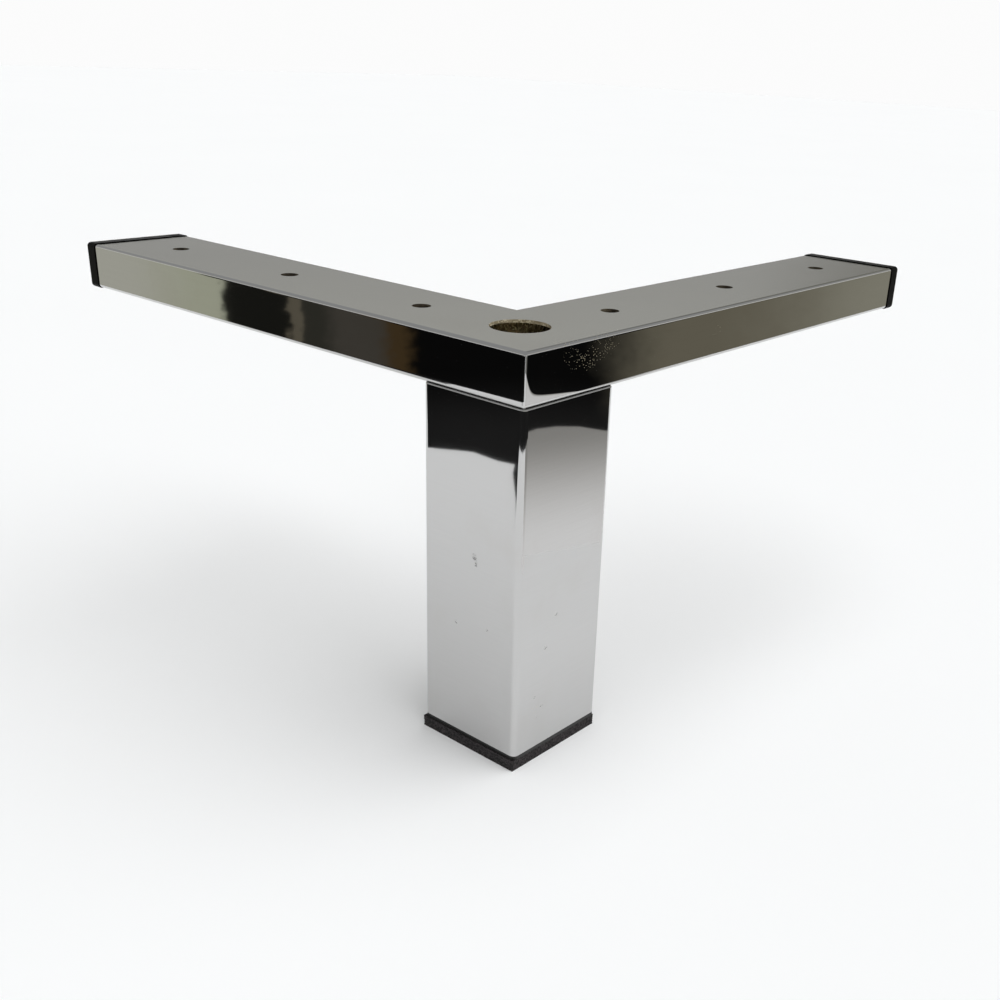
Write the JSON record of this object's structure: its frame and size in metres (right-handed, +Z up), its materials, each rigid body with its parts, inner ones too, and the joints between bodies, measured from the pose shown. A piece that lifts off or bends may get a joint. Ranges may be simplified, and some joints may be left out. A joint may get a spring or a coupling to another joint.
{
  "type": "corner table leg",
  "caption": "Chrome-plated square tube leg under a mitred right-angled bracket of flat tubes, with screw holes, end caps and a foot pad, for the corner of a table or bed frame.",
  "frame": {"origin": "on the floor, under the middle of the leg", "axes": "+Z up through the leg to the screw faces, the left arm along -X, the right arm along +Y"},
  "size_m": [0.2814, 0.2818, 0.1664],
  "materials": {
    "chrome": "bright chrome plating on steel tube",
    "weld": "plated weld bead",
    "end_cap": "black moulded plastic, slightly glossy",
    "foot_plug": "black moulded plastic",
    "foot_pad": "black foam rubber with a coarse cut edge"
  },
  "bodies": {
    "root": {"left_arm_tube": "chrome", "right_arm_tube": "chrome", "leg_tube": "chrome", "left_arm_weld": "weld", "right_arm_weld": "weld", "inner_corner_weld": "weld", "left_end_cap": "end_cap", "right_end_cap": "end_cap", "foot_plug": "foot_plug", "foot_pad": "foot_pad"}
  },
  "joints": []
}
